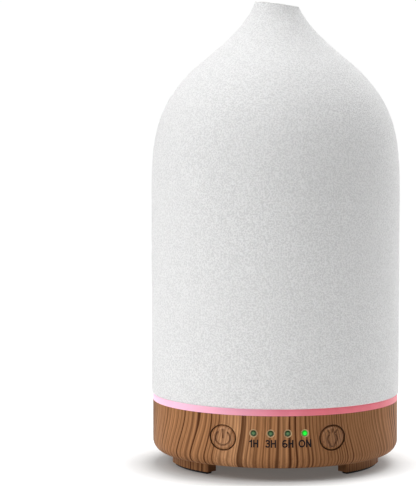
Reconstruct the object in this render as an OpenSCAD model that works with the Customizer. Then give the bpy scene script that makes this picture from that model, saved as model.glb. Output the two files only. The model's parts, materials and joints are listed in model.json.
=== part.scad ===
// Ultrasonic essential oil diffuser with a lift-off ceramic cover.
// +Z is up and the front, with its two buttons, faces -Y. The origin is on the table, under the cover's centre.

/* [Cover] */
// Outer radius of the ceramic cover
cover_r = 50; // [49.8:0.1:50.5]
// Height of the whole diffuser
total_h = 186; // [184:1:190]
// Wall thickness of the ceramic
cover_wall = 4.2; // [3.8:0.1:4.2]
// Slope of the mouth, which is lower on the right
mouth_tilt = 7.6; // [0:0.2:9]

/* [Base] */
// Outer radius of the base
base_r = 49.5; // [49.5:0.1:49.7]
// Height of the base's wall, without feet or light ring
base_h = 21; // [21:0.5:23]
// Radius of the base's rounded lower corner
corner_r = 5; // [4:0.5:5]
// Gap under the base, from the table to its flat underside
foot_h = 4.8; // [4.6:0.1:5.2]
// Height of the band of light over the base
ring_h = 2.5; // [2.3:0.1:2.8]

/* [Controls] */
// Distance of the power button from the middle of the front
power_x = 21.4; // [21:0.1:21.6]
// Distance of the light button from the middle of the front
light_x = 20.8; // [20.5:0.1:21]
// Radius of a button cap
button_r = 4.7; // [4.5:0.1:4.8]
// Distance between two neighbouring indicator lamps
lamp_pitch = 6.6; // [6.2:0.1:6.6]

/* [Hidden] */
$fn = 96;
over = 1;              // how far a cutting tool runs past a face
wall = 2.2;            // wall of the base shell
plate_t = 2;           // thickness of the bottom cover
plate_r = base_r - corner_r - 0.7;
plate_top = foot_h + plate_t;
shell_in = base_r - wall;
shell_top = foot_h + base_h;
ring_top = shell_top + ring_h;
cover_z = ring_top + 0.1;

// tank and deck, hung from the top of the base
deck_z = shell_top - 1.4;
deck_r = 45.2;
tank_out = 41;
tank_in = 39;
rim_z = deck_z + 67.6;
floor_z = deck_z + 4.6;
post_bottom = plate_top + 2;
post_at = 27.5;        // radius of the circle of case screws
case_screws_at = [-90, 30, 150];
retainer_at = [20, 140, 260];
led_screws_at = [-40, 90, 220];
led_board_z = deck_z - 3.4;
led_board_t = 1.2;

// fan, duct and air tube
fan = [-21.6, -5.4, plate_top];
fan_w = 30;
fan_h = 8;
throat_r = 13.8;
tube_r = 6.2;
tube_bore = 4.8;
tube_top = rim_z - 8;
duct_top = deck_z + 1.6;

// controls behind the front wall
panel_z = foot_h + 12;
lamp_z = foot_h + 14.3;
board_y = -33.5;       // front face of the button board
sleeve_y = -38.8;      // inner end of the button sleeves
lamp_r = 1.02;
lamps_x = 0.2;         // middle of the row of lamps
lamps = [for (i = [0:3]) (i - 1.5) * lamp_pitch + lamps_x];
buttons = [-power_x, light_x];
button_gap = 0.4;      // between a cap and its hole

// main board and socket
main_z = plate_top + 5.2;
main_t = 1.4;
main_top = main_z + main_t;
main_screws = [[35, -12], [28, 25], [2, -16]];
jack_z = foot_h + 9.2;
jack_front = 46.8;
jack_pin_r = 1.05;

// feet
foot_mid = 39.8;
foot_half_w = 2.4;
foot_half_a = 19.5;
pad_half_w = 1.5;
pad_half_a = foot_half_a - 2;
pad_depth = 1.8;       // of each pad's seat, from the table
pad_h = 1;             // what stands out of it
feet_at = [-30.5, -149.5, 90];

// ---------- shared shapes ----------

function bezier(p, t) =
    pow(1 - t, 3) * p[0] + 3 * pow(1 - t, 2) * t * p[1] + 3 * (1 - t) * t * t * p[2] + t * t * t * p[3];
function bezier_dir(p, t) =
    3 * pow(1 - t, 2) * (p[1] - p[0]) + 6 * (1 - t) * t * (p[2] - p[1]) + 3 * t * t * (p[3] - p[2]);
function unit(v) = v / norm(v);
// a point on the curve, moved inwards across it by d
function inset(p, t, d) = let (u = unit(bezier_dir(p, t))) bezier(p, t) + d * [-u[1], u[0]];
function on_circle(r, a) = [r * cos(a), r * sin(a)];

// a cylinder from the point at, along -Y
module towards_front(at, r, h) translate(at) rotate([90, 0, 0]) cylinder(r = r, h = h);
// a cylinder from the point at, along +Y
module towards_back(at, r, h) translate(at) rotate([-90, 0, 0]) cylinder(r = r, h = h);
module block(low, high) translate(low) cube(high - low);

// a bent bar with flat ends, on a circle round the axis, reaching half_a each way from the angle a
module bent_bar(a, mid, half_w, half_a, h) {
    rotate([0, 0, a - half_a]) rotate_extrude(angle = 2 * half_a)
        translate([mid - half_w, 0]) square([2 * half_w, h]);
}

// a pan-head screw with its head's underside at z 0, and its shank downwards
module screw(shank_r, length, head_r, head_h) {
    difference() {
        union() {
            translate([0, 0, -length]) cylinder(r = shank_r, h = length);
            cylinder(r1 = head_r, r2 = head_r * 0.8, h = head_h);
        }
        for (a = [0, 90]) rotate([0, 0, a])
            translate([-head_r * 0.55, -head_r * 0.11, head_h * 0.45])
                cube([head_r * 1.1, head_r * 0.22, head_h]);
    }
}

// a round wire through hand-set points, smoothed between them
wire_sides = 8;
wire_steps = 3;
function spline(p, i, t) = let (
        n = len(p) - 1, b = p[i], c = p[i + 1],
        m = i == 0 ? (c - b) : (c - p[i - 1]) / 2,
        k = i + 1 == n ? (c - b) : (p[i + 2] - b) / 2
    ) (2 * pow(t, 3) - 3 * t * t + 1) * b + (pow(t, 3) - 2 * t * t + t) * m
    + (3 * t * t - 2 * pow(t, 3)) * c + (pow(t, 3) - t * t) * k;
function wire_path(p) = concat(
    [for (i = [0:len(p) - 2], s = [0:wire_steps - 1]) spline(p, i, s / wire_steps)], [p[len(p) - 1]]);
// the wire's direction at point i of the smooth path q, square to its ends
function wire_dir(p, q, i) = i == 0 ? p[1] - p[0]
    : i == len(q) - 1 ? p[len(p) - 1] - p[len(p) - 2]
    : q[i + 1] - q[i - 1];
function wire_ring(p, q, i, r) = let (
        d = unit(wire_dir(p, q, i)),
        u = unit(cross(d, [0.9, 0.35, 0.1])), v = cross(d, u)
    ) [for (k = [0:wire_sides - 1]) q[i] + r * (cos(360 * k / wire_sides) * u + sin(360 * k / wire_sides) * v)];
module wire(p, r) {
    q = wire_path(p);
    n = len(q);
    s = wire_sides;
    polyhedron(
        points = [for (i = [0:n - 1]) each wire_ring(p, q, i, r)],
        faces = concat(
            [[for (k = [0:s - 1]) k]],
            [for (i = [0:n - 2], k = [0:s - 1]) [i * s + k, (i + 1) * s + k, (i + 1) * s + (k + 1) % s]],
            [for (i = [0:n - 2], k = [0:s - 1]) [i * s + k, (i + 1) * s + (k + 1) % s, i * s + (k + 1) % s]],
            [[for (k = [s - 1:-1:0]) (n - 1) * s + k]]
        )
    );
}

// ---------- ceramic cover ----------

shoulder = [[cover_r, total_h - 82], [cover_r, total_h - 56], [cover_r, total_h - 40], [27, total_h - 22]];
neck = [[27, total_h - 22], [18.5, total_h - 15.3], [10, total_h - 6.6], [8.4, total_h]];
mouth_r = 8.4;
mouth_wall = 3.2;
curve_steps = 24;

module ceramic_cover() {
    outer = concat(
        [[cover_r - 0.6, cover_z], [cover_r, cover_z + 0.6]],
        [for (i = [0:curve_steps]) bezier(shoulder, i / curve_steps)],
        [for (i = [1:curve_steps]) bezier(neck, i / curve_steps)],
        [[mouth_r - 0.3, total_h + 1.4]]
    );
    inner = concat(
        [[mouth_r - mouth_wall, total_h + 1.4]],
        [for (i = [curve_steps:-1:1])
            let (t = i / curve_steps) inset(neck, t, cover_wall + t * (mouth_wall - cover_wall))],
        [for (i = [curve_steps:-1:0]) inset(shoulder, i / curve_steps, cover_wall)],
        [[cover_r - cover_wall, cover_z]]
    );
    color("whitesmoke") difference() {
        rotate_extrude() polygon(concat(outer, inner));
        translate([-mouth_r, 0, total_h]) rotate([0, mouth_tilt, 0])
            translate([-2 * mouth_r, -20, 0]) cube([60, 40, 10]);
    }
}

// soft ring under the cover's rim
module cushion_ring() {
    color("gainsboro") rotate_extrude() translate([45.9, ring_top - 0.7])
        square([1.7, cover_z - ring_top + 0.7]);
}

// ---------- mist guide: the tank's lid with its chimney ----------

module mist_guide() {
    z = rim_z;
    dome_out = [[41, z + 2], [41, z + 20], [13, z + 18], [9.5, z + 36]];
    dome_in = [[39.2, z + 2], [39.2, z + 18.5], [11.8, z + 16.5], [8.2, z + 36]];
    color("white") rotate_extrude() polygon(concat(
        [[36.8, z - 5], [38.6, z - 5], [38.6, z - 3.4], [37.4, z - 3.4], [37.4, z - 1.4], [38.6, z - 1.4]],
        [[38.6, z], [42.5, z], [42.5, z + 2]],
        [for (i = [0:curve_steps]) bezier(dome_out, i / curve_steps)],
        [[5.6, total_h - 8], [4.4, total_h - 8]],
        [for (i = [curve_steps:-1:0]) bezier(dome_in, i / curve_steps)],
        [[36.8, z]]
    ));
}

module guide_seal() {
    color("lightgray") rotate_extrude() {
        translate([37.45, rim_z - 3.3]) square([0.8, 1.8]);
        translate([38.2, rim_z - 2.4]) circle(r = 0.65);
    }
}

// ---------- base ----------

module button_bore(x, r) towards_front([x, board_y, panel_z], r, 25);

module base_shell() {
    color("peru") difference() {
        union() {
            rotate_extrude() difference() {
                union() {
                    translate([0, foot_h + corner_r]) square([base_r, base_h - corner_r]);
                    translate([0, foot_h]) square([base_r - corner_r, corner_r]);
                    translate([base_r - corner_r, foot_h + corner_r]) circle(r = corner_r);
                }
                translate([-over, plate_top + 2]) square([shell_in + over, base_h]);
                translate([-over, plate_top - over]) square([41.5 + over, 4]);
                translate([-over, foot_h - over]) square([plate_r + 0.2 + over, plate_t + over]);
            }
            for (x = buttons) intersection() {
                towards_front([x, sleeve_y, panel_z], button_r + 1.7, 12);
                cylinder(r = base_r - wall / 2, h = shell_top);
            }
        }
        for (x = buttons) button_bore(x, button_r + button_gap);
        for (x = lamps) {
            face = sqrt(base_r * base_r - x * x);
            towards_front([x, -40, lamp_z], lamp_r + 0.08, 15);
            translate([x, 0.45 - face, lamp_z]) rotate([90, 0, 0])
                cylinder(r1 = lamp_r + 0.08, r2 = lamp_r + 0.9, h = 1);
        }
        towards_back([0, 40, jack_z], 4.2, 15);
    }
}

module bottom_cover() {
    color("peru") difference() {
        union() {
            translate([0, 0, foot_h]) cylinder(r = plate_r, h = plate_t);
            for (a = feet_at) translate([0, 0, pad_h])
                bent_bar(a, foot_mid, foot_half_w, foot_half_a, foot_h - pad_h + 0.5);
            for (a = case_screws_at) translate(on_circle(post_at, a)) translate([0, 0, plate_top - 0.5])
                cylinder(r = 3.8, h = 2.5);
            for (p = main_screws) translate([p[0], p[1], plate_top - 0.5])
                cylinder(r = 2.4, h = main_z - plate_top + 0.5);
            for (s = [-1, 1]) translate([18 * s - 2, 0, 0]) {
                block([0, board_y - 1.5, plate_top - 0.5], [4, board_y + 2.5, plate_top + 1.4]);
                block([0, board_y - 1.5, plate_top], [4, board_y - 0.05, plate_top + 5]);
                block([0, board_y + 1.25, plate_top], [4, board_y + 2.5, plate_top + 5]);
            }
            block([-5.8, 34, plate_top - 0.5], [5.8, 38, jack_z - 5]);
            for (s = [-1, 1]) block([5.2 * s - 0.6, 34, plate_top - 0.5], [5.2 * s + 0.6, 38, jack_z]);
        }
        // the pads' seats in the feet
        for (a = feet_at) bent_bar(a, foot_mid, pad_half_w + 0.05, pad_half_a + 0.1, pad_depth);
        for (a = case_screws_at) translate(on_circle(post_at, a)) {
            translate([0, 0, foot_h - over]) cylinder(r = 3.2, h = over + 1.8);
            cylinder(r = 1.6, h = 12);
        }
        for (p = main_screws) translate([p[0], p[1], plate_top]) cylinder(r = 0.9, h = 10);
        for (s = [-1, 1]) translate([fan[0] + 12 * s, fan[1] + 12 * s, foot_h + 0.6])
            cylinder(r = 0.95, h = 4);
        // intake slots under the fan
        for (i = [-3:3]) let (y = 3.4 * i, w = sqrt(12.2 * 12.2 - y * y))
            block([fan[0] - w, fan[1] + y - 0.9, foot_h - over],
                [fan[0] + w, fan[1] + y + 0.9, plate_top + over]);
    }
}

module foot_pad(a) {
    color("#222222") bent_bar(a, foot_mid, pad_half_w, pad_half_a, pad_depth);
}

module light_ring() {
    color("pink") rotate_extrude() polygon([
        [base_r, shell_top], [base_r, ring_top], [47.8, ring_top], [47.8, ring_top - 0.7],
        [45.5, ring_top - 0.7], [45.5, deck_z], [44.2, deck_z], [44.2, deck_z - 1],
        [47.2, deck_z - 1], [47.2, shell_top]
    ]);
}

module tank() {
    z = deck_z;
    color("white") difference() {
        union() {
            rotate_extrude() polygon([
                [8.2, floor_z], [11.8, floor_z], [11.8, z + 0.4], [14.5, z + 0.4], [14.5, floor_z + 0.3],
                [38.6, z + 9.2], [38.6, z], [deck_r, z], [deck_r, z + 3.6], [43.8, z + 3.6], [43.8, z + 2],
                [tank_out, z + 2], [tank_out, rim_z], [tank_in, rim_z], [tank_in, z + 14.1], [38, z + 12],
                [36, z + 10.8], [12, floor_z + 2.2], [8.2, floor_z + 1.8]
            ]);
            for (a = retainer_at) translate(on_circle(16.5, a)) translate([0, 0, z + 0.4])
                cylinder(r = 2.3, h = 5.4);
            for (a = case_screws_at) translate(on_circle(post_at, a)) translate([0, 0, post_bottom])
                cylinder(r = 3.2, h = z + 8 - post_bottom);
            for (a = led_screws_at) translate(on_circle(41, a)) translate([0, 0, z - 2.2])
                cylinder(r = 2, h = 3);
            translate([fan[0], fan[1], z + 6]) cylinder(r = tube_r + 1.6, h = 6);
        }
        translate([fan[0], fan[1], z]) cylinder(r = tube_r + 0.01, h = 20);
        for (a = retainer_at) translate(on_circle(16.5, a)) translate([0, 0, z]) cylinder(r = 0.9, h = 4.4);
        for (a = case_screws_at) translate(on_circle(post_at, a)) cylinder(r = 1.2, h = post_bottom + 14);
        for (a = led_screws_at) translate(on_circle(41, a)) translate([0, 0, z - 3]) cylinder(r = 0.8, h = 4);
    }
}

module air_tube() {
    color("white") translate([fan[0], fan[1], duct_top]) difference() {
        cylinder(r = tube_r, h = tube_top - duct_top);
        translate([0, 0, -over]) cylinder(r = tube_bore, h = tube_top);
    }
}

module case_screws() {
    color("silver") for (a = case_screws_at) translate(on_circle(post_at, a)) translate([0, 0, foot_h + 1.8])
        rotate([180, 0, 0]) screw(1.15, 12, 2.9, 1.6);
}

// ---------- atomiser ----------

module atomiser_disc() {
    color("silver") translate([0, 0, floor_z - 1.6]) cylinder(r = 9.95, h = 0.8);
}

module piezo_element() {
    color("darkkhaki") translate([0, 0, floor_z - 2.4]) cylinder(r = 8, h = 0.8);
}

module disc_gasket() {
    z = floor_z;
    color("dimgray") rotate_extrude() polygon([
        [8.2, z], [11.6, z], [11.6, z - 2.4], [8.6, z - 2.4],
        [8.6, z - 1.6], [10, z - 1.6], [10, z - 0.8], [8.2, z - 0.8]
    ]);
}

module disc_retainer() {
    z = deck_z;
    color("ivory") difference() {
        union() {
            translate([0, 0, z - 1.2]) cylinder(r = 13.8, h = 1.6);
            translate([0, 0, z]) cylinder(r = 11.5, h = floor_z - 2.4 - z);
            for (a = retainer_at) translate(on_circle(16.5, a)) translate([0, 0, z - 1.2])
                cylinder(r = 3, h = 1.6);
        }
        translate([0, 0, z - 3]) cylinder(r = 9, h = 10);
        for (a = retainer_at) translate(on_circle(16.5, a)) translate([0, 0, z - 3]) cylinder(r = 1.1, h = 5);
    }
}

module retainer_screws() {
    color("silver") for (a = retainer_at) translate(on_circle(16.5, a)) translate([0, 0, deck_z - 1.2])
        rotate([180, 0, 0]) screw(0.85, 5.2, 1.9, 1.2);
}

// ---------- fan and air path ----------

module duct_cap() {
    color("white") translate([fan[0], fan[1], tube_top - 2]) {
        difference() {
            cylinder(r = 9.2, h = 7);
            translate([0, 0, -over]) cylinder(r = 8, h = 6.6);
        }
        for (a = [30, 150, 270]) rotate([0, 0, a]) block([tube_r + 0.02, -0.6, 0], [8.4, 0.6, 6]);
    }
}

module air_duct() {
    translate([fan[0], fan[1], 0]) color("white") rotate_extrude() polygon([
        [13.2, plate_top + fan_h], [14.4, plate_top + fan_h], [14.4, plate_top + fan_h + 1.4],
        [tube_r, deck_z - 1.9], [tube_r, duct_top], [tube_bore, duct_top],
        [tube_bore, deck_z - 2.4], [13.2, plate_top + fan_h + 1]
    ]);
}

module fan_frame() {
    color("#1c1c1c") translate(fan) {
        difference() {
            union() {
                translate([-fan_w / 2 + 2, -fan_w / 2, 0]) cube([fan_w - 4, fan_w, fan_h]);
                translate([-fan_w / 2, -fan_w / 2 + 2, 0]) cube([fan_w, fan_w - 4, fan_h]);
                for (x = [-13, 13], y = [-13, 13]) translate([x, y, 0]) cylinder(r = 2, h = fan_h);
            }
            translate([0, 0, -over]) cylinder(r = throat_r, h = fan_h + 2 * over);
            for (x = [-12, 12], y = [-12, 12]) translate([x, y, -over]) cylinder(r = 1.2, h = fan_h + 2 * over);
            // notch where the leads come out
            block([fan_w / 2 - 1.2, -6.8, -over], [fan_w / 2 + over, -2.4, 1.6]);
        }
        cylinder(r = 6.4, h = 1);
        for (a = [45:90:315]) rotate([0, 0, a]) block([5, -0.6, 0], [throat_r + 0.3, 0.6, 0.9]);
    }
}

module fan_bearing() {
    color("goldenrod") translate(fan + [0, 0, 1]) difference() {
        cylinder(r = 1.6, h = 4.4);
        translate([0, 0, 0.5]) cylinder(r = 0.8, h = 5);
    }
}

module fan_stator() {
    color("sienna") translate(fan + [0, 0, 1.6]) difference() {
        union() {
            cylinder(r = 2.6, h = 3.2);
            for (a = [0:90:270]) rotate([0, 0, a]) block([2, -1.4, 0.3], [4.6, 1.4, 2.9]);
        }
        translate([0, 0, -over]) cylinder(r = 1.65, h = 6);
    }
}

blades = 7;
module fan_impeller() {
    color("#2a2a2a") translate(fan) {
        difference() {
            translate([0, 0, 1.4]) cylinder(r = 6.4, h = 5.6);
            cylinder(r = 5.4, h = 5.8);
            translate([0, 0, 5]) cylinder(r = 0.75, h = 1.4);
        }
        for (k = [0:blades - 1]) rotate([0, 0, 360 * k / blades]) intersection() {
            translate([9.6, 0, 4.2]) rotate([42, 0, 0]) cube([7.4, 7, 0.7], center = true);
            difference() {
                translate([0, 0, 1.6]) cylinder(r = 13.2, h = 5.2);
                cylinder(r = 6.2, h = 8);
            }
        }
    }
}

module fan_shaft() {
    color("silver") translate(fan + [0, 0, 1.6]) cylinder(r = 0.75, h = 4.8);
}

module fan_screws() {
    color("silver") for (s = [-1, 1]) translate(fan + [12 * s, 12 * s, fan_h]) screw(0.9, 9.2, 2, 1.2);
}

// ---------- main board ----------

module main_board() {
    color("darkgreen") difference() {
        intersection() {
            translate([0, 0, main_z]) cylinder(r = 43.5, h = main_t);
            block([-5, -30, main_z], [44, 40, main_top]);
        }
        block([-6, 31, main_z - over], [6, 45, main_top + over]);
        for (a = case_screws_at) translate(on_circle(post_at, a)) translate([0, 0, main_z - over])
            cylinder(r = 3.8, h = main_t + 2 * over);
        for (p = main_screws) translate([p[0], p[1], main_z - over]) cylinder(r = 1.1, h = main_t + 2 * over);
    }
}

module board_screws() {
    color("silver") for (p = main_screws) translate([p[0], p[1], main_top]) screw(0.85, 5.6, 1.9, 1.2);
}

module filter_capacitor() {
    color("black") translate([27, -18, main_top]) {
        difference() {
            cylinder(r = 4, h = 7.2);
            translate([0, 0, 1.2]) rotate_extrude() translate([4.1, 0]) circle(r = 0.4);
        }
    }
}

module drive_inductor() {
    color("chocolate") translate([12, 20, main_top + 2.2]) {
        rotate_extrude() translate([4, 0]) circle(r = 2.2);
    }
}

module power_transistor() {
    color("#202020") {
        block([28.6, 1, main_top + 1.6], [33, 11, main_top + 7]);
        for (y = [3.4, 6, 8.6]) block([30.4, y - 0.4, main_top], [31, y + 0.4, main_top + 1.6]);
    }
}

module heatsink() {
    color("darkgray") {
        block([33, -1, main_top], [34.6, 13, main_top + 7]);
        for (i = [0:4]) block([34.6, 3.2 * i - 0.9, main_top], [38.4, 3.2 * i + 0.1, main_top + 7]);
    }
}

module controller_chip() {
    color("#181818") translate([14, -5, main_top]) {
        block([-2, -5, 0.2], [2, 5, 1.6]);
        for (i = [0:7], s = [-1, 1]) translate([2.4 * s, 1.27 * (i - 3.5), 0.35])
            cube([1.2, 0.42, 0.7], center = true);
    }
}

connectors = [[-1.5, -10, 5, 7], [2, 8, 5, 7], [10, 33.5, 7, 4.6], [21, 32, 7, 4.6], [14, -26.5, 9, 4.6]];
connector_h = 4.6;
connector_top = main_top + connector_h;
module board_connectors() {
    color("white") for (c = connectors)
        block([c[0] - c[2] / 2, c[1] - c[3] / 2, main_top], [c[0] + c[2] / 2, c[1] + c[3] / 2, connector_top]);
}

// ---------- light under the ring ----------

module led_board() {
    color("white") difference() {
        // open at the front, behind the buttons
        translate([0, 0, led_board_z]) rotate([0, 0, -48]) rotate_extrude(angle = 276)
            translate([36.6, 0]) square([8, led_board_t]);
        for (a = led_screws_at) translate(on_circle(41, a)) translate([0, 0, led_board_z - over])
            cylinder(r = 1, h = 4);
    }
}

module light_leds() {
    color("mistyrose") for (a = [-25:46:205]) rotate([0, 0, a])
        translate([41.4, 0, led_board_z + led_board_t + 0.75]) difference() {
            cube([5, 5, 1.5], center = true);
            translate([0, 0, 0.35]) cylinder(r = 2, h = 1);
        }
}

module led_board_screws() {
    color("silver") for (a = led_screws_at) translate(on_circle(41, a)) translate([0, 0, led_board_z])
        rotate([180, 0, 0]) screw(0.75, 3.6, 1.7, 1);
}

// ---------- buttons and indicators ----------

module button_board() {
    color("darkgreen") block([-25, board_y, plate_top + 2.2], [25, board_y + 1.2, shell_top - 5.4]);
}

module tact_switch(x) {
    color("#303030") difference() {
        translate([x - 3, board_y - 3.4, panel_z - 3]) cube([6, 3.4, 6]);
        towards_front([x, board_y - 1, panel_z], 1.8, 6);
    }
}

plunger_front = -37.6;
module switch_plunger(x) {
    color("black") towards_front([x, board_y - 2, panel_z], 1.7, board_y - 2 - plunger_front);
}

stroke = 0.6;           // width of the engraved lines
// power symbol: a ring open at the top, with a bar in the gap
module power_symbol() {
    difference() {
        circle(r = 3.1);
        circle(r = 3.1 - stroke);
        polygon([[0, 0.4], [-5, 5], [5, 5]]);
    }
    translate([-stroke / 2, 0]) square([stroke, 3.4]);
}

function unit(v) = v / norm(v);
// half a line's width, square to the line at one of its points
function half_width(points, i, w) = let(
    from = max(i, 1),
    to = min(i + 1, len(points) - 1),
    before = unit(points[from] - points[from - 1]),
    after = unit(points[to] - points[to - 1]),
    along = unit(before + after)
) w / 2 / (along * before) * [-along[1], along[0]];

// a line of width w through the points
module line(points, w) {
    last = len(points) - 1;
    polygon(concat(
        [for (i = [0:last]) points[i] + half_width(points, i, w)],
        [for (i = [last:-1:0]) points[i] - half_width(points, i, w)]
    ));
}

// lamp symbol: a bulb open at its top and narrowing to its cap, with three rays over it
bulb_r = 1.9;
bulb_y = -0.2;
half_bulb = concat(
    [for (a = [48:-12:-36]) [bulb_r * cos(a), bulb_r * sin(a) + bulb_y]],
    [[1.05, -2.4], [0.75, -3.3]]
);
module lamp_symbol() {
    line(concat(
        [for (p = half_bulb) [-p[0], p[1]]],
        [for (i = [len(half_bulb) - 1:-1:0]) half_bulb[i]]
    ), stroke);
    for (a = [-30, 0, 30]) rotate(a) translate([-stroke / 2, 2.2]) square([stroke, 1.3]);
}

// a cap whose face follows the base's wall, with its symbol engraved
module button_cap(x) {
    face_r = base_r + 0.5;
    color("peru") difference() {
        union() {
            intersection() {
                towards_front([x, sleeve_y + 0.2, panel_z], button_r, 12);
                cylinder(r = face_r, h = shell_top);
            }
            towards_front([x, sleeve_y + 1, panel_z], button_r + 1.2, 0.8);
            towards_front([x, plunger_front, panel_z], 1.5, 2);
        }
        difference() {
            towards_front([x, sleeve_y + 2, panel_z], button_r - 1.3, 3.6);
            towards_front([x, sleeve_y + 3, panel_z], 1.5, 6);
        }
        difference() {
            translate([x, -30, panel_z]) rotate([90, 0, 0]) linear_extrude(height = 25) children();
            translate([0, 0, -over]) cylinder(r = face_r - 0.4, h = shell_top + 2 * over);
        }
    }
}

module lens_holder() {
    color("black") difference() {
        block([-12.4, -44.4, lamp_z - 1.8], [12.4, board_y, lamp_z + 1.6]);
        for (x = lamps) {
            towards_front([x, board_y + over, lamp_z], lamp_r + 0.05, 15);
            block([x - 1.6, board_y - 1.5, lamp_z - 1.1], [x + 1.6, board_y + over, lamp_z + 1.1]);
        }
    }
}

module indicator_lens(i) {
    color(i == 3 ? "lime" : "darkolivegreen") intersection() {
        towards_front([lamps[i], board_y - 1.5, lamp_z], lamp_r, 20);
        cylinder(r = base_r - 0.1, h = shell_top);
    }
}

module indicator_leds() {
    color("lightyellow") for (x = lamps)
        block([x - 1.5, board_y - 1.4, lamp_z - 1], [x + 1.5, board_y, lamp_z + 1]);
}

// ---------- power socket ----------

module dc_jack() {
    color("black") difference() {
        union() {
            block([-4.5, 33.3, jack_z - 5], [4.5, jack_front, jack_z + 5]);
            towards_back([0, jack_front - over, jack_z], 4, 2.8);
        }
        towards_back([0, 39.1, jack_z], 2.85, 15);
    }
}

module dc_jack_pin() {
    color("silver") towards_back([0, 39.1, jack_z], jack_pin_r, 8.9);
}

// ---------- wiring ----------

module disc_leads() {
    color("crimson") for (s = [-1.2, 1.2]) wire([
        [s, 0, floor_z - 2.4], [s, 0, floor_z - 4.6], [s + 1, 3, floor_z - 7], [s + 2, 7.6, connector_top + 2.6],
        [s + 2, 8, connector_top + 1.4], [s + 2, 8, connector_top]
    ], 0.55);
}

module fan_leads() {
    x = fan[0] + fan_w / 2;
    color("firebrick") for (s = [-1.2, 0, 1.2]) wire([
        [x - 1.1, s - 10, plate_top + 0.7], [x - 0.2, s - 10, plate_top + 0.7],
        [x + 0.6, s - 10, plate_top + 1.5], [x + 0.7, s - 10, main_z], [x + 0.8, s - 10, main_top + 2.4],
        [-5, s - 10, connector_top + 1.4], [-3.2, s - 10, connector_top + 2.6],
        [-1.5, s - 10, connector_top + 1.6], [-1.5, s - 10, connector_top]
    ], 0.5);
}

module jack_leads() {
    color("firebrick") for (s = [-1.2, 1.2]) wire([
        [s, 33.3, jack_z + 2.5], [s, 32, jack_z + 2.5], [s * 0.6 + 2.2, s * 0.7 + 30, jack_z + 4.6],
        [7 - s * 0.6, s * 0.7 + 30.3, connector_top + 2.2], [10 - s, 32.8, connector_top + 2.4],
        [10 - s, 33.5, connector_top + 1.3], [10 - s, 33.5, connector_top]
    ], 0.55);
}

module led_board_leads() {
    color("gold") for (s = [-1.2, 0, 1.2]) wire([
        [s + 21, 34.6, led_board_z], [s + 21, 34.6, led_board_z - 0.8], [s + 21, 33.4, led_board_z - 1.4],
        [s + 21, 32, connector_top + 0.8], [s + 21, 32, connector_top]
    ], 0.4);
}

module button_leads() {
    color("gold") for (s = [-2.4, -1.2, 0, 1.2, 2.4]) wire([
        [14 + s, board_y + 1.2, panel_z - 1], [14 + s, board_y + 2.4, panel_z - 1],
        [14 + s, board_y + 4, panel_z + 1.6], [14 + s, -27.2, connector_top + 1.9],
        [14 + s, -26.5, connector_top + 1], [14 + s, -26.5, connector_top]
    ], 0.4);
}

// ---------- the nodes ----------

ceramic_cover();
cushion_ring();
mist_guide();
guide_seal();
base_shell();
bottom_cover();
foot_pad(feet_at[0]);  // foot_pad_right
foot_pad(feet_at[1]);  // foot_pad_left
foot_pad(feet_at[2]);  // foot_pad_rear
light_ring();
tank();
air_tube();
case_screws();
atomiser_disc();
piezo_element();
disc_gasket();
disc_retainer();
retainer_screws();
duct_cap();
air_duct();
fan_frame();
fan_bearing();
fan_stator();
fan_impeller();
fan_shaft();
fan_screws();
main_board();
board_screws();
filter_capacitor();
drive_inductor();
power_transistor();
heatsink();
controller_chip();
board_connectors();
led_board();
light_leds();
led_board_screws();
button_board();
tact_switch(-power_x);  // power_switch
tact_switch(light_x);  // light_switch
switch_plunger(-power_x);  // power_switch_plunger
switch_plunger(light_x);  // light_switch_plunger
button_cap(-power_x) power_symbol();  // power_button
button_cap(light_x) lamp_symbol();  // light_button
lens_holder();
indicator_lens(0);  // indicator_lens_1h
indicator_lens(1);  // indicator_lens_3h
indicator_lens(2);  // indicator_lens_6h
indicator_lens(3);  // indicator_lens_on
indicator_leds();
dc_jack();
dc_jack_pin();
disc_leads();
fan_leads();
jack_leads();
led_board_leads();
button_leads();
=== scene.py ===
import json
import math
from functools import reduce

import bpy
import numpy as np
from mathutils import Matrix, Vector


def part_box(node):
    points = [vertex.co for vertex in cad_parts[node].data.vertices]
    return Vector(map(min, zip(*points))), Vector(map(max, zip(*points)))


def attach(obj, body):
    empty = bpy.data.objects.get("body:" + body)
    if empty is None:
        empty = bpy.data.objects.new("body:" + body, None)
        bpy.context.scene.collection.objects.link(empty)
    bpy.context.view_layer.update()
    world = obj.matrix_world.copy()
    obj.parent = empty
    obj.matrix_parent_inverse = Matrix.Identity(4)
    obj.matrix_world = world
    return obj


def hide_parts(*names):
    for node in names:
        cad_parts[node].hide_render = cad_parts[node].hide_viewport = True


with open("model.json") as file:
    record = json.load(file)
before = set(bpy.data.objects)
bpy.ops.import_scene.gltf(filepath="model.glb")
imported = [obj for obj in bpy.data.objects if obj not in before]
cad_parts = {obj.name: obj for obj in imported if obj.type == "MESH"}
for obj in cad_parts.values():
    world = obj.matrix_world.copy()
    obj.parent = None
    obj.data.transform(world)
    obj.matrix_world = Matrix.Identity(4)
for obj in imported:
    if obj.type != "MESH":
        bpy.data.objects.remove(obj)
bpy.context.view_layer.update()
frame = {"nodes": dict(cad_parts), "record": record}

MM = 0.001
nodes = frame["nodes"]
slot_of = {part["node"]: part["material_slot"] for part in frame["record"]["subparts"]}
base_low, base_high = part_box("base_shell")
base_r = base_high.x
lamp_nodes = ("indicator_lens_1h", "indicator_lens_3h", "indicator_lens_6h", "indicator_lens_on")


def middle(node):
    low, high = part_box(node)
    return (low + high) / 2


def add_object(name, data):
    obj = bpy.data.objects.new(name, data)
    bpy.context.scene.collection.objects.link(obj)
    return obj


# ---------- camera, light and floor ----------

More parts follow.
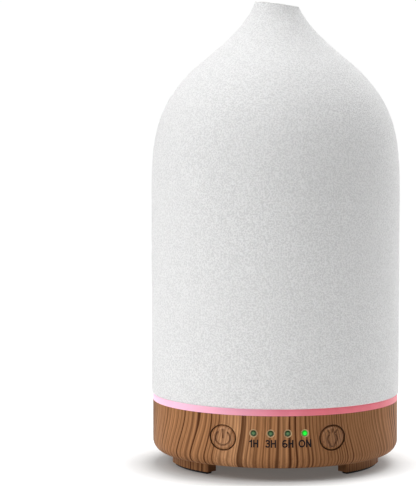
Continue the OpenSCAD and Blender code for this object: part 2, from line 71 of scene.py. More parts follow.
CAMERA_AT = (-0.0260, -0.8756, 0.1536)   # in metres, like the floor's measures
CAMERA_DOWN = 4.23        # degrees below the horizon
CAMERA_TURN = 0.08        # degrees to the left of straight ahead
LENS_MM = 160.9
SENSOR_MM = 36
KEY_LIGHT = {"azimuth": -67, "elevation": 44, "strength": 1.68, "softness": 40}
SEEN_WHITE = 1.02         # the white that the camera sees behind the object
WORLD_BASE = 0.01
WORLD_LOBES = (
    # azimuth, elevation, how narrow, how bright
    (-80, 3, 12, 1.88),
    (132, 25, 12, 1.74),
    (146, 5, 12, 2.52),
    (75, 81, 12, 5.5),
)
FLOOR_R = 1.3
FLOOR_SIDES = 96
FLOOR_FADE = (0.35, 1.1)  # the floor fades out between these distances
PAINTED_SHADOW_MIDDLE = (-0.002, -0.006)   # the middle of the painted contact shadow: the floor's glow is dimmest round this place
PAINTED_SHADOW_END = 0.070
PAINTED_SHADOW_STEPS = (
    # share of the way from the painted shadow's middle to its end, and the floor's glow there, dim near the
    # middle as painted contact shadow
    (0.00, (0.10, 0.095, 0.09)), (0.50, (0.11, 0.105, 0.10)), (0.66, (0.18, 0.178, 0.175)),
    (0.76, (0.46, 0.458, 0.455)), (0.87, (0.64, 0.64, 0.64)), (1.00, (0.68, 0.68, 0.68)),
)


def make_camera():
    data = bpy.data.cameras.new("camera")
    data.lens = LENS_MM
    data.sensor_width = SENSOR_MM
    camera = add_object("camera", data)
    camera.location = CAMERA_AT
    camera.rotation_euler = (math.radians(90 - CAMERA_DOWN), 0, math.radians(CAMERA_TURN))
    bpy.context.scene.camera = camera


def towards(azimuth, elevation):
    """A direction out from the object. Azimuth 0 is the front and 90 the right."""
    a, e = math.radians(azimuth), math.radians(elevation)
    return Vector((math.sin(a) * math.cos(e), -math.cos(a) * math.cos(e), math.sin(e)))


def make_sun(name, azimuth, elevation, strength, softness):
    data = bpy.data.lights.new(name, "SUN")
    data.energy = strength
    data.angle = math.radians(softness)
    sun = add_object(name, data)
    sun.rotation_euler = towards(azimuth, elevation).to_track_quat("Z", "Y").to_euler()


def make_world():
    """A white studio: bright behind, above and on the left, and darker at the front right.

    The camera sees plain white instead.
    """
    world = bpy.data.worlds.new("studio")
    bpy.context.scene.world = world
    world.use_nodes = True
    tree = world.node_tree
    tree.nodes.clear()
    direction = tree.nodes.new("ShaderNodeTexCoord").outputs["Generated"]

    def lobe(axis, power, strength):
        dot = tree.nodes.new("ShaderNodeVectorMath")
        dot.operation = "DOT_PRODUCT"
        tree.links.new(direction, dot.inputs[0])
        dot.inputs[1].default_value = axis
        last = dot.outputs["Value"]
        for operation, number in (("MAXIMUM", 0), ("POWER", power), ("MULTIPLY", strength)):
            step = tree.nodes.new("ShaderNodeMath")
            step.operation = operation
            tree.links.new(last, step.inputs[0])
            step.inputs[1].default_value = number
            last = step.outputs[0]
        return last

    total = None
    for azimuth, elevation, power, strength in WORLD_LOBES:
        share = lobe(towards(azimuth, elevation), power, strength)
        if total is None:
            total = share
            continue
        add = tree.nodes.new("ShaderNodeMath")
        tree.links.new(total, add.inputs[0])
        tree.links.new(share, add.inputs[1])
        total = add.outputs[0]
    ambient = tree.nodes.new("ShaderNodeMath")
    tree.links.new(total, ambient.inputs[0])
    ambient.inputs[1].default_value = WORLD_BASE
    light = tree.nodes.new("ShaderNodeBackground")
    tree.links.new(ambient.outputs[0], light.inputs["Strength"])
    seen = tree.nodes.new("ShaderNodeBackground")
    seen.inputs["Strength"].default_value = SEEN_WHITE
    for background in (light, seen):
        background.inputs["Color"].default_value = (1, 1, 1, 1)
    path = tree.nodes.new("ShaderNodeLightPath")
    mix = tree.nodes.new("ShaderNodeMixShader")
    tree.links.new(path.outputs["Is Camera Ray"], mix.inputs[0])
    tree.links.new(light.outputs[0], mix.inputs[1])
    tree.links.new(seen.outputs[0], mix.inputs[2])
    tree.links.new(mix.outputs[0], tree.nodes.new("ShaderNodeOutputWorld").inputs["Surface"])


# ---------- building materials ----------

class Finish:
    """A material on the Principled shader, with short ways to add nodes to it."""

    def __init__(self, name, **sockets):
        self.material = bpy.data.materials.new(name)
        self.material.use_nodes = True
        self.tree = self.material.node_tree
        self.shader = self.tree.nodes["Principled BSDF"]
        self.place = self.node("TexCoord").outputs["Object"]
        for key, value in sockets.items():
            self.feed(self.shader.inputs[key.replace("_", " ").title().replace("Ior", "IOR")], value)

    def feed(self, socket, value):
        if isinstance(value, bpy.types.NodeSocket):
            self.tree.links.new(value, socket)
        else:
            socket.default_value = value

    def node(self, kind, **settings):
        made = self.tree.nodes.new("ShaderNode" + kind)
        for key, value in settings.items():
            setattr(made, key, value)
        return made

    def math(self, operation, *values, clamp=False):
        made = self.node("Math", operation=operation, use_clamp=clamp)
        for socket, value in zip(made.inputs, values):
            self.feed(socket, value)
        return made.outputs[0]

    def plus(self, *values):
        return reduce(lambda a, b: self.math("ADD", a, b), values)

    def minus(self, a, b):
        return self.math("SUBTRACT", a, b)

    def times(self, *values):
        return reduce(lambda a, b: self.math("MULTIPLY", a, b), values)

    def length(self, a, b):
        return self.math("POWER", self.plus(self.times(a, a), self.times(b, b)), 0.5)

    def axes(self, vector=None):
        made = self.node("SeparateXYZ")
        self.feed(made.inputs[0], vector or self.place)
        return made.outputs[0], made.outputs[1], made.outputs[2]

    def vector(self, x, y, z):
        made = self.node("CombineXYZ")
        for socket, value in zip(made.inputs, (x, y, z)):
            self.feed(socket, value)
        return made.outputs[0]

    def stretched(self, x, y, z):
        """The place, with each axis multiplied by its number."""
        made = self.node("VectorMath", operation="MULTIPLY")
        self.feed(made.inputs[0], self.place)
        made.inputs[1].default_value = (x, y, z)
        return made.outputs[0]

    def noise(self, scale, detail=2.0, roughness=0.5, place=None):
        made = self.node("TexNoise")
        self.feed(made.inputs["Vector"], place or self.place)
        for key, value in (("Scale", scale), ("Detail", detail), ("Roughness", roughness)):
            made.inputs[key].default_value = value
        return made.outputs["Fac"]

    def cells(self, scale):
        made = self.node("TexVoronoi")
        self.feed(made.inputs["Vector"], self.place)
        made.inputs["Scale"].default_value = scale
        return made.outputs["Distance"]

    def span(self, value, low, high, to_low=0.0, to_high=1.0):
        """value, smoothed from low..high to to_low..to_high."""
        made = self.node("MapRange", interpolation_type="SMOOTHSTEP")
        for socket, number in zip(made.inputs, (value, low, high, to_low, to_high)):
            self.feed(socket, number)
        return made.outputs[0]

    def mix(self, share, a, b):
        made = self.node("Mix", data_type="RGBA")
        for index, value in ((0, share), (6, a), (7, b)):
            if index and not isinstance(value, bpy.types.NodeSocket):
                value = (*value, 1)
            self.feed(made.inputs[index], value)
        return made.outputs[2]

    def ramp(self, share, *stops):
        """A colour ramp through (place, colour) stops."""
        made = self.node("ValToRGB")
        self.feed(made.inputs[0], share)
        band = made.color_ramp
        while len(band.elements) < len(stops):
            band.elements.new(0.5)
        for element, (place, colour) in zip(band.elements, stops):
            element.position = place
            element.color = (*colour, 1)
        return made.outputs[0]

    def colour(self, value):
        self.feed(self.shader.inputs["Base Color"], value)

    def roughness(self, value):
        self.feed(self.shader.inputs["Roughness"], value)

    def glow(self, colour, strength):
        self.feed(self.shader.inputs["Emission Color"], colour)
        self.shader.inputs["Emission Strength"].default_value = strength

    def bump(self, height, distance, strength=1.0):
        made = self.node("Bump")
        made.inputs["Strength"].default_value = strength
        made.inputs["Distance"].default_value = distance
        self.feed(made.inputs["Height"], height)
        self.feed(self.shader.inputs["Normal"], made.outputs[0])


def tinted(colour, factor):
    return tuple(min(1.0, c * factor) for c in colour)


# ---------- the materials ----------

def ceramic():
    """Sand-textured white ceramic."""
    f = Finish("ceramic", specular_ior_level=0.35)
    sand = f.noise(1700, detail=3, roughness=0.7)
    lumps = f.noise(750)
    cloud = f.noise(28, detail=3)
    pale = f.mix(f.span(sand, 0.42, 0.58), (0.79, 0.79, 0.792), (0.98, 0.98, 0.98))
    f.colour(f.mix(f.span(cloud, 0.3, 0.7, 0, 0.15), pale, (0.91, 0.908, 0.905)))
    f.roughness(f.span(sand, 0.3, 0.7, 0.72, 0.92))
    f.bump(f.plus(sand, f.times(lumps, 0.2)), 0.8 * MM)
    return f.material


WOOD_LIGHT = (0.61, 0.310, 0.148)
WOOD_MID = (0.47, 0.215, 0.090)
WOOD_DARK = (0.070, 0.021, 0.006)
BARE_PLASTIC = (0.52, 0.36, 0.20)
# painted shade for the engraved grooves on the button caps
PAINTED_GROOVE_SHADE = (0.085, 0.030, 0.010)
RINGS = 126               # growth lines round the wall
RING_SHIFT = 0.38         # how far they are turned, in growth lines
FAN_OUT = 0.15            # how far they spread from the front towards the bottom
LEVEL_FROM = 0.7          # the normal's height from which a face counts as level
# The rest are angles round the wall, in radians from the front, growing to the right.
FINE_RINGS = 12           # further lines squeezed in over FINE_SPAN
FINE_SPAN = (0.10, 0.90)
STRONG_LINES = ((-0.86, -0.47), (-0.29, 0.20))   # where the lines are darkest
PLAIN_FROM = (-0.47, -0.42)                      # and where they are faint, up to the seam
SEAM = -0.285             # where a darker plank starts
PAINTED_SHADE_SPANS = (((0.02, 0.42), (1.15, 0.80)), ((-1.15, -1.35), (-1.9, -1.6)))   # two stretches of painted shade, right of the front and at the left edge
LAMP_RIM = (1.62 * MM, 1.50 * MM)     # the print stops this far from each lamp's middle


def around_lamps(f, x, y, z):
    """1 on the unprinted rim round each lamp's hole, and 0 elsewhere."""
    first, second, last = (middle(lamp_nodes[k]) for k in (0, 1, 3))
    pitch = second.x - first.x
    near = f.math("WRAP", f.minus(x, first.x), pitch / 2, -pitch / 2)
    away = f.length(near, f.minus(z, first.z))
    inside = f.math("LESS_THAN", f.math("ABSOLUTE", x), last.x + pitch / 2)
    front = f.times(inside, f.math("LESS_THAN", y, 0.0))
    return f.times(f.span(away, *LAMP_RIM), front)


def wall_place(f, x, y, z, flat_below):
    """The angle round the wall that a growth line keeps, and the distance along the line."""
    depth = f.span(z, base_high.z, base_low.z)
    turn = f.math("ARCTAN2", x, f.times(y, -1.0))
    angle = f.minus(turn, f.times(depth, FAN_OUT, f.math("SINE", turn)))
    if not flat_below:
        return angle, z
    level = f.math("ABSOLUTE", f.axes(f.node("TexCoord").outputs["Normal"])[2])
    flat = f.math("GREATER_THAN", level, LEVEL_FROM)
    across = f.minus(f.times(x, 1 / base_r), angle)
    return f.plus(angle, f.times(flat, across)), f.plus(z, f.times(flat, f.minus(y, z)))


def growth_lines(f, angle, along):
    """How dark the growth lines are, the finer lines between them, and the plain stretch."""
    phase = f.plus(
        f.minus(f.times(angle, RINGS / math.tau), RING_SHIFT),
        f.span(angle, *FINE_SPAN, 0, FINE_RINGS),
        f.times(f.noise(0.11, place=along), 2.4),
        f.times(f.noise(0.5, place=along), 0.35),
    )
    ring = f.math("FRACT", phase)
    which = f.node("TexWhiteNoise", noise_dimensions="1D")
    f.feed(which.inputs["W"], f.math("FLOOR", phase))
    patches = f.noise(0.085, detail=1, place=along)
    marked = f.span(patches, 0.42, 0.58)
    for start, end in STRONG_LINES:
        inside = f.times(f.span(angle, start - 0.05, start + 0.05), f.span(angle, end + 0.06, end - 0.06))
        marked = f.math("MAXIMUM", marked, inside)
    plain = f.times(f.span(angle, *PLAIN_FROM), f.math("LESS_THAN", angle, SEAM))
    strength = f.times(
        f.span(which.outputs["Value"], 0.05, 0.9, 0.50, 1.0),
        f.span(marked, 0, 1, 0.58, 1.0),
        f.minus(1.0, f.times(plain, 0.75)),
    )

    # late wood: slowly darker, then a dark line with a sharp far edge, and finer lines between
    slope = f.span(ring, 0.05, 0.75, 0, 0.16)
    line = f.times(f.span(ring, 0.50, 0.72), f.span(ring, 1.0, 0.90))
    dark = f.math("MULTIPLY", f.plus(slope, f.times(line, 0.80)), strength, clamp=True)
    seam = f.times(f.span(angle, SEAM - 0.012, SEAM), f.span(angle, SEAM + 0.05, SEAM))
    dark = f.math("MAXIMUM", dark, f.times(seam, 0.9))
    between = f.math("FRACT", f.plus(f.times(phase, 2.37), f.times(patches, 6.0)))
    between = f.times(f.span(between, 0.25, 0.70), f.span(between, 1.0, 0.86))
    return dark, between, plain


def wood(name="wood_print", flat_below=False, engraved=False):
    """Wood print whose growth lines run down the wall.

    flat_below runs them straight on level faces. engraved paints shade into what the mesh marks as engraved.
    """
    coat = {"coat_weight": 0.25, "coat_roughness": 0.30} if engraved else {}
    f = Finish(name, specular_ior_level=0.06, **coat)
    x, y, z = f.axes()
    angle, run = wall_place(f, x, y, z, flat_below)
    # a seamless place on the wall, in millimetres round it and along it
    along = f.vector(
        f.times(f.math("COSINE", angle), base_r / MM),
        f.times(f.math("SINE", angle), base_r / MM),
        f.times(run, 0.07 / MM),
    )
    dark, between, plain = growth_lines(f, angle, along)
    fibres = f.noise(1.0, detail=4, roughness=0.7, place=f.stretched(2100, 2100, 70))
    pores = f.span(f.noise(1.0, place=f.stretched(2600, 2600, 170)), 0.60, 0.72)
    broad = f.noise(0.07, place=along)
    # painted shade: the wood is darkened over two stretches of the wall, right of the front and at the left
    # edge
    painted_shade = reduce(
        lambda a, b: f.math("MAXIMUM", a, b),
        [f.times(f.span(angle, *start), f.span(angle, *end)) for start, end in PAINTED_SHADE_SPANS],
    )
    colour = f.mix(f.span(broad, 0.38, 0.60), WOOD_LIGHT, WOOD_MID)
    for share, tint in (
        (f.times(plain, 0.8), WOOD_LIGHT),
        # painted shade over those two stretches
        (f.times(painted_shade, 0.80), tinted(WOOD_MID, 0.64)),
        (f.span(fibres, 0.32, 0.68, 0, 0.50), tinted(WOOD_MID, 0.60)),
        (f.times(between, 0.52), tinted(WOOD_MID, 0.36)),
        (f.times(pores, 0.35), WOOD_DARK),
        (dark, WOOD_DARK),
        (around_lamps(f, x, y, z), BARE_PLASTIC),
    ):
        colour = f.mix(share, colour, tint)
    if engraved:
        # painted shade: the engraved grooves are darkened
        cut = f.node("Attribute", attribute_name="engraved").outputs["Fac"]
        colour = f.mix(f.times(cut, 0.55), colour, PAINTED_GROOVE_SHADE)
    f.colour(colour)
    f.roughness(f.plus(f.span(fibres, 0.3, 0.7, 0.44, 0.58), f.times(dark, 0.1)))
    f.bump(f.plus(f.times(dark, -0.7), f.times(fibres, 0.5)), 0.045 * MM, 0.7)
    return f.material


def light_guide():
    """Frosted plastic, lit from inside: paler on the left."""
    f = Finish("light_guide", specular_ior_level=0.4, subsurface_weight=0.25, subsurface_scale=0.002)
    haze = f.noise(160, detail=3)
    from_left = f.plus(f.times(f.axes()[0], 0.5 / base_r), 0.5, f.times(f.minus(haze, 0.5), 0.06))
    f.glow(f.ramp(
        from_left,
        (0.00, (0.76, 0.56, 0.74)), (0.12, (0.74, 0.52, 0.70)), (0.30, (0.49, 0.29, 0.39)),
        (0.50, (0.37, 0.10, 0.14)), (0.68, (0.33, 0.042, 0.055)), (1.00, (0.33, 0.042, 0.055)),
    ), 0.85)
    f.colour(f.mix(f.span(haze, 0.3, 0.7), (0.44, 0.12, 0.15), (0.50, 0.15, 0.19)))
    f.roughness(f.span(haze, 0.3, 0.7, 0.32, 0.45))
    f.bump(f.noise(1800), 0.03 * MM, 0.5)
    return f.material


def plastic(name, colour, roughness, grain=900, cloudy=0.10):
    """Moulded plastic: faint cloudiness, fine spark-eroded grain and a few rubbed spots."""
    f = Finish(name, specular_ior_level=0.5)
    cloud = f.noise(45, detail=3)
    grit = f.noise(grain)
    rubbed = f.span(f.noise(120, detail=4, roughness=0.7), 0.56, 0.70)
    f.colour(f.mix(f.span(cloud, 0.3, 0.7), tinted(colour, 1 - cloudy), tinted(colour, 1 + cloudy)))
    f.roughness(f.minus(f.span(grit, 0.3, 0.7, roughness - 0.05, roughness + 0.08), f.times(rubbed, 0.08)))
    f.bump(grit, 0.03 * MM, 0.6)
    return f.material


def rubber(name, colour):
    """Matt rubber or ceramic with dust on it."""
    f = Finish(name, specular_ior_level=0.35)
    dust = f.noise(300, detail=4, roughness=0.7)
    grit = f.noise(1400)
    f.colour(f.mix(f.span(dust, 0.45, 0.75), colour, tuple(c * 0.8 + 0.02 for c in colour)))
    f.roughness(f.span(dust, 0.3, 0.7, 0.62, 0.85))
    f.bump(grit, 0.05 * MM, 0.7)
    return f.material


def metal(name, colour, roughness, brushed=(1, 1, 1)):
    """Bare metal with brushed or turned marks, and duller spots."""
    f = Finish(name, metallic=1.0)
    marks = f.noise(1.0, detail=4, roughness=0.7, place=f.stretched(*(1400 * b for b in brushed)))
    spots = f.noise(260, detail=3)
    f.colour(f.mix(f.span(spots, 0.35, 0.7), colour, tinted(colour, 0.82)))
    worn = f.span(spots, 0.5, 0.8, 0, 0.12)
    f.roughness(f.plus(f.span(marks, 0.3, 0.7, roughness - 0.06, roughness + 0.10), worn))
    f.bump(marks, 0.012 * MM, 0.6)
    return f.material


def wound_wire(name, colour, turns):
    """Enamelled wire wound round a core, as fine ridges."""
    f = Finish(name, metallic=0.85, coat_weight=0.5, coat_roughness=0.12)
    ridges = f.math("ABSOLUTE", f.math("SINE", f.times(f.plus(*f.axes()), turns / MM)))
    patina = f.noise(500, detail=3)
    # painted shade: the colour is darkened in the valleys between the turns
    f.colour(f.mix(ridges, tinted(colour, 0.35), f.mix(patina, colour, tinted(colour, 0.75))))
    f.roughness(f.span(patina, 0.3, 0.7, 0.25, 0.38))
    f.bump(ridges, 0.15 * MM, 0.8)
    return f.material


def circuit_board(name, mask, track):
    """Solder mask with copper tracks showing through it, and tinned pads."""
    f = Finish(name, specular_ior_level=0.55)
    bricks = f.node("TexBrick")
    f.feed(bricks.inputs["Vector"], f.stretched(420, 420, 420))
    for key, value in (("Scale", 1.0), ("Mortar Size", 0.06), ("Brick Width", 0.9), ("Row Height", 0.45)):
        bricks.inputs[key].default_value = value
    tracks = f.times(bricks.outputs["Fac"], f.span(f.noise(110, detail=1), 0.42, 0.48))
    pads = f.span(f.cells(330), 0.22, 0.17)
    weave = f.noise(900)
    colour = f.mix(f.span(weave, 0.3, 0.7, 0, 0.5), mask, tinted(mask, 1.35))
    colour = f.mix(f.times(tracks, 0.8), colour, track)
    f.colour(f.mix(pads, colour, (0.55, 0.56, 0.56)))
    f.roughness(f.span(weave, 0.3, 0.7, 0.26, 0.36))
    f.bump(f.plus(tracks, pads), 0.05 * MM, 0.6)
    return f.material


def lens(node, centre, edge, glow=0):
    """A small round lens, brighter in its middle. Its light comes from the middle too."""
    f = Finish(node, specular_ior_level=0.35)
    x, _, z = f.axes()
    at = middle(node)
    away = f.length(f.minus(x, at.x), f.minus(z, at.z))
    haze = f.span(f.noise(900), 0.3, 0.7, -0.05, 0.05)
    share = f.math("ADD", f.span(away, 0.15 * MM, 0.95 * MM), haze, clamp=True)
    f.colour(f.ramp(share, (0, centre), (1, edge)))
    if glow:
        f.glow(f.ramp(share, (0, (0.0, 1.0, 0.02)), (1, (0.0, 0.36, 0.01))), glow)
    f.roughness(f.span(f.noise(1500), 0.3, 0.7, 0.18, 0.28))
    return f.material


def frosted_lamp(name, colour):
    """A lamp chip: one pale yellow colour with fine speckle."""
    f = Finish(name, specular_ior_level=0.5, coat_weight=0.3)
    speckle = f.noise(2200)
    f.colour(f.mix(f.span(speckle, 0.4, 0.6), colour, tinted(colour, 0.86)))
    f.roughness(f.span(speckle, 0.3, 0.7, 0.25, 0.4))
    f.bump(speckle, 0.02 * MM, 0.5)
    return f.material


def ink(name, colour):
    """Screen print with slightly uneven cover."""
    f = Finish(name, specular_ior_level=0.12)
    cover = f.noise(1600, detail=3)
    f.colour(f.mix(f.span(cover, 0.3, 0.75), colour, tuple(c + 0.008 for c in colour)))
    f.roughness(f.span(cover, 0.3, 0.7, 0.55, 0.70))
    f.bump(cover, 0.01 * MM, 0.5)
    return f.material


def make_materials():
    """One material for each of the record's slots."""
    return {
        "ceramic": ceramic(),
        "wood_print": wood(),
        "foot_rubber": rubber("foot_rubber", (0.012, 0.012, 0.013)),
        "light_guide": light_guide(),
        "tank_plastic": plastic("tank_plastic", (0.72, 0.73, 0.73), 0.34, cloudy=0.015),
        "guide_plastic": plastic("guide_plastic", (0.78, 0.78, 0.77), 0.38, cloudy=0.015),
        "silicone": rubber("silicone", (0.62, 0.63, 0.63)),
        "gasket_rubber": rubber("gasket_rubber", (0.10, 0.11, 0.12)),
        "steel": metal("steel", (0.62, 0.61, 0.59), 0.25, (1, 0.05, 1)),
        "screw_steel": metal("screw_steel", (0.58, 0.57, 0.55), 0.30, (1, 1, 0.1)),
        "piezo_ceramic": rubber("piezo_ceramic", (0.42, 0.37, 0.24)),
        "retainer_plastic": plastic("retainer_plastic", (0.66, 0.64, 0.56), 0.45),
        "black_plastic": plastic("black_plastic", (0.022, 0.022, 0.024), 0.42, grain=1300),
        "bronze": metal("bronze", (0.55, 0.36, 0.15), 0.42),
        "copper_coil": wound_wire("copper_coil", (0.62, 0.26, 0.10), 9),
        "circuit_board": circuit_board("circuit_board", (0.012, 0.085, 0.032), (0.06, 0.20, 0.07)),
        "led_board_white": circuit_board("led_board_white", (0.68, 0.70, 0.69), (0.78, 0.78, 0.74)),
        "capacitor_sleeve": plastic("capacitor_sleeve", (0.015, 0.022, 0.055), 0.22),
        "chip_epoxy": rubber("chip_epoxy", (0.02, 0.02, 0.022)),
        "heatsink_aluminium": metal("heatsink_aluminium", (0.55, 0.56, 0.57), 0.38, (1, 1, 0.03)),
        "connector_nylon": plastic("connector_nylon", (0.70, 0.69, 0.64), 0.4),
        "led_lamp": frosted_lamp("led_lamp", (0.82, 0.74, 0.48)),
        "wire_red": plastic("wire_red", (0.42, 0.018, 0.012), 0.3),
        "wire_yellow": plastic("wire_yellow", (0.60, 0.38, 0.03), 0.3),
    }


# ---------- edges and shading of the CAD nodes ----------

def smooth_group(limit):
    """Shades smooth wherever two faces meet at less than limit, and sharp elsewhere."""
    group = bpy.data.node_groups.new(f"smooth_below_{limit}", "GeometryNodeTree")
    group.interface.new_socket("Mesh", in_out="INPUT", socket_type="NodeSocketGeometry")
    group.interface.new_socket("Mesh", in_out="OUTPUT", socket_type="NodeSocketGeometry")
    start = group.nodes.new("NodeGroupInput")
    end = group.nodes.new("NodeGroupOutput")
    whole = group.nodes.new("GeometryNodeSetShadeSmooth")
    whole.domain = "FACE"
    angle = group.nodes.new("GeometryNodeInputMeshEdgeAngle")
    sharp = group.nodes.new("FunctionNodeCompare")
    sharp.data_type = "FLOAT"
    sharp.operation = "GREATER_THAN"
    sharp.inputs[1].default_value = math.radians(limit)
    edges = group.nodes.new("GeometryNodeSetShadeSmooth")
    edges.domain = "EDGE"
    edges.inputs["Shade Smooth"].default_value = False
    group.links.new(start.outputs[0], whole.inputs["Geometry"])
    group.links.new(whole.outputs[0], edges.inputs["Geometry"])
    group.links.new(angle.outputs[0], sharp.inputs[0])
    group.links.new(sharp.outputs[0], edges.inputs["Selection"])
    group.links.new(edges.outputs[0], end.inputs[0])
    return group


SMOOTH_LIMIT = 24         # in degrees, like the next one
EDGE_LIMIT = 38           # two faces that meet at more than this get a rounded edge
WELD_GAP = 0.002          # in millimetres, like the widths of the rounded edges
EDGE_WIDTHS = {
    "ceramic_cover": 0.8, "base_shell": 0.12, "bottom_cover": 0.3, "light_ring": 0.15,
    "foot_pad_right": 0.35, "foot_pad_left": 0.35, "foot_pad_rear": 0.35,
    "mist_guide": 0.25, "tank": 0.2, "duct_cap": 0.3, "air_tube": 0.25,
}
SMALL_EDGE = 0.06


def finish_edges(node, group):
    """Welds a CAD node's seams, rounds its sharp edges and shades the rest smooth."""
    obj = nodes[node]
    mesh = obj.data
    if "custom_normal" in mesh.attributes:
        mesh.attributes.remove(mesh.attributes["custom_normal"])
    weld = obj.modifiers.new("weld", "WELD")
    weld.merge_threshold = WELD_GAP * MM
    bevel = obj.modifiers.new("edges", "BEVEL")
    bevel.width = EDGE_WIDTHS.get(node, SMALL_EDGE) * MM
    bevel.segments = 3
    bevel.limit_method = "ANGLE"
    bevel.angle_limit = math.radians(EDGE_LIMIT)
    bevel.use_clamp_overlap = True
    bevel.miter_outer = "MITER_ARC"
    obj.modifiers.new("smooth", "NODES").node_group = group


# ---------- strokes ----------

def stroke_sides(points, width, closed=False):
    """The two long sides of a line of that width through the points."""
    count = len(points)
    left, right = [], []
    for i, point in enumerate(points):
        before = Vector(point) - Vector(points[i - 1 if i or closed else 0])
        after = Vector(points[(i + 1) % count if i + 1 < count or closed else i]) - Vector(point)
        if not before.length:
            before = after
        if not after.length:
            after = before
        along = (before.normalized() + after.normalized()).normalized()
        half = Vector((-along.y, along.x)) * (width / 2 / along.dot(before.normalized()))
        left.append(Vector(point) + half)
        right.append(Vector(point) - half)
    return left, right


def arc(x, y, rx, ry, start, end, steps):
    """Points on an ellipse, with angles in degrees from its right side."""
    turns = [math.radians(start + (end - start) * k / steps) for k in range(steps + 1)]
    return [(x + rx * math.cos(t), y + ry * math.sin(t)) for t in turns]


# ---------- the printed labels ----------

STROKE = 0.55             # in millimetres, like the letters below
LETTER_H = 2.5            # between the middles of the top and bottom strokes
LETTER_GAP = 0.80
LABEL_DROP = 3.95 * MM    # from the lamp's middle to the label's
INK_LIFT = 0.025 * MM
STEP = 0.12               # longest piece of a stroke, so that it bends round the wall


def glyphs():
    """Each letter's width and its strokes: points, and whether they close."""
    h, end = LETTER_H, STROKE / 2
    upper, lower = 0.27 * h, 0.24 * h
    three = arc(0.62, h - lower, 0.62, lower, 165, -90, 14) + arc(0.62, upper, 0.70, upper, 90, -165, 16)
    six = arc(0.82, h * 0.62, 0.82, h * 0.38, 50, 180, 12) + [(0, upper)]
    six += arc(0.78, upper, 0.78, upper, 180, 520, 24)
    return {
        "1": (0.95, [([(0.05, h - 0.60), (0.50, h - 0.42), (0.85, h - 0.05)], False),
                     ([(0.85, h + end), (0.85, -end)], False)]),
        "3": (1.32, [(three, False)]),
        "6": (1.56, [(six, False)]),
        "H": (1.45, [([(0, -end), (0, h + end)], False),
                     ([(1.45, -end), (1.45, h + end)], False),
                     ([(0, h * 0.52), (1.45, h * 0.52)], False)]),
        "O": (2.10, [(arc(1.05, h / 2, 1.05, h / 2, 0, 360, 36)[:-1], True)]),
        "N": (1.55, [([(0, -end), (0, h + end)], False),
                     ([(1.55, -end), (1.55, h + end)], False),
                     ([(0, h + 0.05), (1.55, -0.05)], False)]),
    }


def finely(points, closed):
    """The points, with more between those that are far apart."""
    ends = list(points) + ([points[0]] if closed else [])
    out = []
    for a, b in zip(ends, ends[1:]):
        a, b = Vector(a), Vector(b)
        count = max(1, math.ceil((b - a).length / STEP))
        out += [a.lerp(b, k / count) for k in range(count)]
    return out if closed else out + [Vector(ends[-1])]


def make_label(text, node, material):
    """A timer label as printed strokes, bent round the wall under its lamp."""
    letters = glyphs()
    total = sum(letters[c][0] for c in text) + LETTER_GAP * (len(text) - 1)
    lamp = middle(node)
    start = base_r * math.asin(lamp.x / base_r) / MM - total / 2
    foot = (lamp.z - LABEL_DROP) / MM - LETTER_H / 2
    verts, faces = [], []
    for letter in text:
        width, strokes = letters[letter]
        for points, closed in strokes:
            left, right = stroke_sides(finely(points, closed), STROKE, closed)
            first, count = len(verts), len(left)
            for a, b in zip(left, right):
                for p in (a, b):
                    angle = (start + p.x) * MM / base_r
                    r = base_r + INK_LIFT
                    verts.append((r * math.sin(angle), -r * math.cos(angle), (foot + p.y) * MM))
            for k in range(count if closed else count - 1):
                a, b = first + 2 * k, first + 2 * ((k + 1) % count)
                faces.append((a, a + 1, b + 1, b))
        start += width + LETTER_GAP
    mesh = bpy.data.meshes.new("strokes")
    mesh.from_pydata(verts, [], faces)
    label = add_object("label_" + text.lower(), mesh)
    thick = label.modifiers.new("thick", "SOLIDIFY")
    thick.thickness = INK_LIFT
    thick.offset = -1
    mesh.materials.append(material)
    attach(label, "base")


# ---------- the buttons ----------

SYMBOL_STROKE = 0.5       # in millimetres, like the symbols below
SYMBOL_DEPTH = 0.35
SYMBOL_WALL = 0.16        # how far a stroke's side slopes outwards
CAP_R = 4.7               # the button's radius
CAP_PROUD = 0.5           # how far the cap's face stands out of the wall
CAP_EDGE = 1.3            # width of its rounded edge
CAP_DROP = 1.15           # how far it falls there
CAP_CURVE = 1.3           # the power of that fall
CAP_BACK = ((4.7, 1.0), (5.9, 1.0), (5.9, 0.2), (1.5, 0.2), (1.5, 0.0))   # radius, distance from its back
CAP_RINGS = 64            # steps from the face's middle to its edge
CAP_SIDES = 240


def power_symbol():
    """A ring open at the top, and a bar in its gap."""
    return [arc(0, 0, 2.82, 2.82, 132, 408, 60), [(0, 0.1), (0, 3.2)]]


def lamp_symbol():
    """A lamp bulb with three rays above it."""
    half = arc(0, -0.2, 1.9, 1.9, 48, -36, 12) + [(1.05, -2.4), (0.75, -3.3)]
    rays = []
    for degrees in (-30, 0, 30):
        t = math.radians(degrees)
        rays.append([(-r * math.sin(t), r * math.cos(t)) for r in (2.4, 3.3)])
    return [[(-x, y) for x, y in half] + half[::-1], *rays]


def distance_to(lines, points):
    """How far each point is from the nearest of the lines."""
    nearest = np.full(len(points), np.inf)
    for line in lines:
        for a, b in zip(np.array(line[:-1]), np.array(line[1:])):
            along = b - a
            share = np.clip((points - a) @ along / (along @ along), 0, 1)
            nearest = np.minimum(nearest, np.linalg.norm(points - a - share[:, None] * along, axis=1))
    return nearest


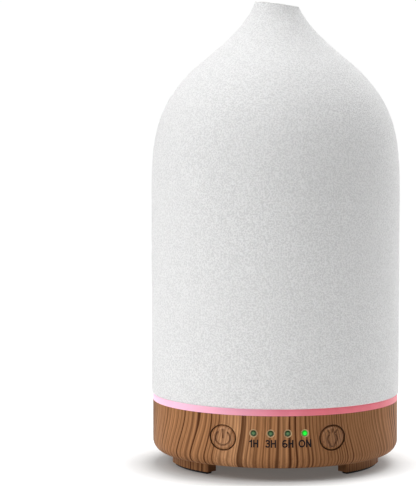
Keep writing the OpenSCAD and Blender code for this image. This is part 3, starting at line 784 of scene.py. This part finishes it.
def make_cap(name, node, body, symbol, material, group):
    """A button cap whose face follows the wall, with a rounded edge and its symbol engraved."""
    at = middle(node) / MM
    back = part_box(node)[1].y / MM
    turns = np.arange(CAP_SIDES) * math.tau / CAP_SIDES
    circle = np.stack([np.cos(turns), np.sin(turns)], axis=1)
    steps = [circle * CAP_R * (k + 1) / CAP_RINGS for k in range(CAP_RINGS)]
    flat = np.concatenate([[[0.0, 0.0]], *steps])
    from_middle = np.linalg.norm(flat, axis=1)
    into_edge = np.clip((from_middle - CAP_R + CAP_EDGE) / CAP_EDGE, 0, 1) ** CAP_CURVE
    cut = np.clip(1 - (distance_to(symbol, flat) - SYMBOL_STROKE / 2) / SYMBOL_WALL, 0, 1)
    away = base_r / MM + CAP_PROUD - CAP_DROP * into_edge - SYMBOL_DEPTH * cut
    xs = at.x + flat[:, 0]
    zs = at.z + flat[:, 1]
    face = np.stack([xs, -np.sqrt(away ** 2 - xs ** 2), zs], axis=1)
    rings = [
        np.stack([at.x + circle[:, 0] * r, np.full(CAP_SIDES, back - depth), at.z + circle[:, 1] * r], axis=1)
        for r, depth in CAP_BACK
    ]
    verts = np.concatenate([face, *rings, [[at.x, back, at.z]]]) * MM
    count = CAP_RINGS + len(CAP_BACK)
    faces = []
    for k in range(CAP_SIDES):
        n = (k + 1) % CAP_SIDES
        faces.append((0, 1 + k, 1 + n))
        for ring in range(count - 1):
            a, b = 1 + ring * CAP_SIDES, 1 + (ring + 1) * CAP_SIDES
            faces.append((a + k, b + k, b + n, a + n))
        last = 1 + (count - 1) * CAP_SIDES
        faces.append((last + k, len(verts) - 1, last + n))
    mesh = bpy.data.meshes.new(name)
    mesh.from_pydata(verts.tolist(), [], faces)
    marks = np.zeros(len(verts))
    marks[:len(cut)] = cut
    mesh.attributes.new("engraved", "FLOAT", "POINT").data.foreach_set("value", marks)
    mesh.materials.append(material)
    cap = add_object(name, mesh)
    cap.modifiers.new("smooth", "NODES").node_group = group
    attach(cap, body)
    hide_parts(node)


# ---------- the floor ----------

def make_floor():
    """A pale floor that fades out into the white, and glows with light of its own away from the object; round
    the object the glow is dimmed as a painted contact shadow.
    """
    mesh = bpy.data.meshes.new("floor")
    turns = [math.tau * k / FLOOR_SIDES for k in range(FLOOR_SIDES)]
    rim = [(FLOOR_R * math.cos(t), FLOOR_R * math.sin(t), 0) for t in turns]
    mesh.from_pydata(rim, [], [list(range(FLOOR_SIDES))])
    floor = add_object("floor", mesh)
    f = Finish("floor", specular_ior_level=0.25)
    x, y, _ = f.axes()
    paper = f.noise(90, detail=4)
    f.colour(f.mix(f.span(paper, 0.3, 0.7), (0.41, 0.41, 0.408), (0.43, 0.43, 0.428)))
    f.roughness(0.75)
    # painted contact shadow: the floor's glow is dimmed by the distance from the shadow's middle
    near = f.length(f.minus(x, PAINTED_SHADOW_MIDDLE[0]), f.minus(y, PAINTED_SHADOW_MIDDLE[1]))
    f.glow(f.ramp(f.math("DIVIDE", near, PAINTED_SHADOW_END), *PAINTED_SHADOW_STEPS), 1.0)
    clear = f.node("BsdfTransparent")
    fade = f.node("MixShader")
    share = f.span(f.length(x, y), *FLOOR_FADE)
    for socket, value in zip(fade.inputs, (share, f.shader.outputs[0], clear.outputs[0])):
        f.feed(socket, value)
    f.feed(f.tree.nodes["Material Output"].inputs["Surface"], fade.outputs[0])
    mesh.materials.append(f.material)


# ---------- making it ----------

make_camera()
bpy.context.scene.view_settings.view_transform = "Standard"
make_world()
make_sun("key", **KEY_LIGHT)
make_floor()

materials = make_materials()
for name, node in nodes.items():
    node.data.materials.clear()
    node.data.materials.append(materials.get(slot_of[name]))   # none yet on the lenses
nodes["bottom_cover"].data.materials[0] = wood("wood_print_level", flat_below=True)
*dark_lamps, lit_lamp = lamp_nodes
for name in dark_lamps:
    nodes[name].data.materials[0] = lens(name, (0.10, 0.20, 0.075), (0.020, 0.050, 0.014))
nodes[lit_lamp].data.materials[0] = lens(lit_lamp, (0.0, 0.45, 0.02), (0.005, 0.12, 0.01), 0.9)
shading = smooth_group(SMOOTH_LIMIT)
for name in nodes:
    finish_edges(name, shading)
label_ink = ink("label_ink", (0.003, 0.003, 0.005))
for text, node in zip(("1H", "3H", "6H", "ON"), lamp_nodes):
    make_label(text, node, label_ink)
engraved = wood("wood_print_engraved", engraved=True)
make_cap("power_button_cap", "power_button", "power_key", power_symbol(), engraved, shading)
make_cap("light_button_cap", "light_button", "light_key", lamp_symbol(), engraved, shading)
